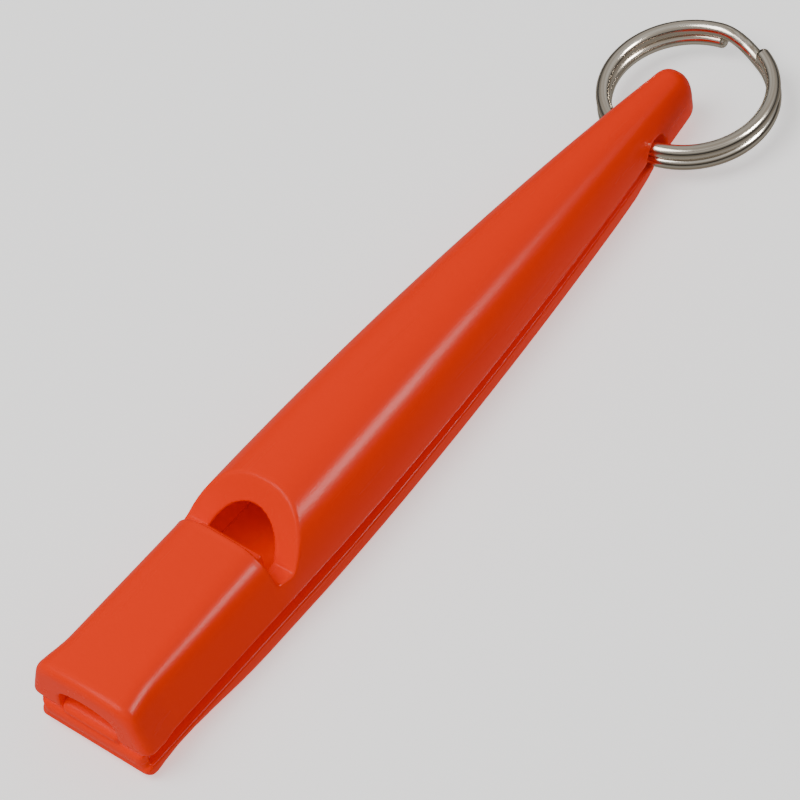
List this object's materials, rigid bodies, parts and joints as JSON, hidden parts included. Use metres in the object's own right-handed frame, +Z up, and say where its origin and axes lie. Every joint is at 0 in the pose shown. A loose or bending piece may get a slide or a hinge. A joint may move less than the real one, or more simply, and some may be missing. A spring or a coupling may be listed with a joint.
{
  "type": "pealess dog whistle",
  "caption": "Orange moulded-plastic pealess dog whistle, 80 mm long, with a flat sole and a 16 mm steel split ring through its tail.",
  "frame": {"origin": "on the flat sole, halfway along the whistle body, on its plane of symmetry", "axes": "+X along the whistle from the mouth end to the ring end, +Z up from the flat sole, +Y to the left looking from mouth to tail"},
  "size_m": [0.0875, 0.016, 0.0095],
  "materials": {
    "orange_plastic": "gloss",
    "ring_steel": "polished"
  },
  "bodies": {
    "whistle": {"upper_shell": "orange_plastic", "base": "orange_plastic"},
    "ring": {"split_ring": "ring_steel"}
  },
  "joints": [
    {"name": "ring_swing", "type": "hinge", "parent": "whistle", "child": "ring", "pos_m": [0.03245, 0, 0.00295], "axis": [0, 1, 0], "range_deg": [-150, 155]}
  ]
}
